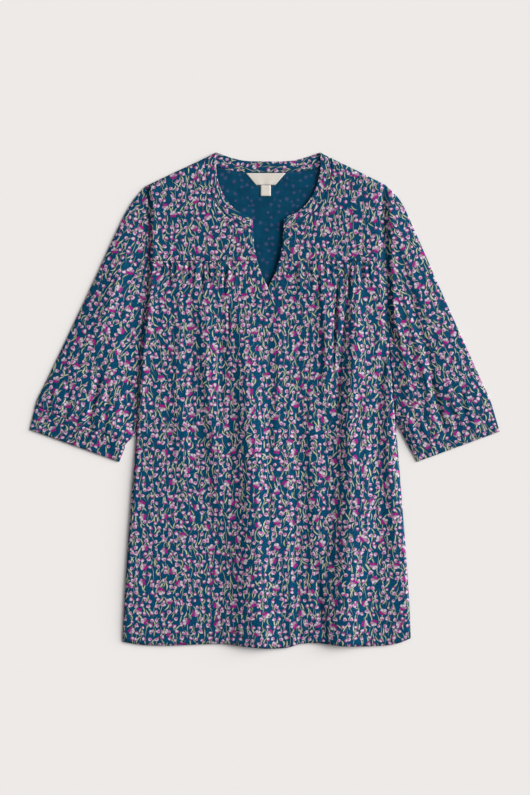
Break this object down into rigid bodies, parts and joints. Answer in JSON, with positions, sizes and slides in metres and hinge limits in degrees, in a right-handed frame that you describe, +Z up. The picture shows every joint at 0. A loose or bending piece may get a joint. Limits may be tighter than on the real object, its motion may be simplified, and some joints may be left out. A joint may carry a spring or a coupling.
{
  "type": "tunic top, laid flat",
  "caption": "Gathered tunic top laid flat on its back, with a notched round neck, front yokes and elbow-length sleeves with cuffs.",
  "frame": {"origin": "on the surface, under the middle of the whole garment", "axes": "+X to the right and +Y towards the neck as the laid-out front is seen from above, +Z up off the surface"},
  "size_m": [0.7514, 0.7932, 0.0119],
  "materials": {
    "printed_jersey": "soft matt jersey, teal ground with a dense small print of pink flowers and cream leaves",
    "label_tape": "matt cream woven tape"
  },
  "bodies": {
    "root": {"back_panel": "printed_jersey", "front_panel": "printed_jersey", "yoke_left": "printed_jersey", "yoke_right": "printed_jersey", "neck_band": "printed_jersey", "sleeve_left": "printed_jersey", "sleeve_right": "printed_jersey", "cuff_left": "printed_jersey", "cuff_right": "printed_jersey", "neck_label": "label_tape", "size_tab": "label_tape"}
  },
  "joints": []
}
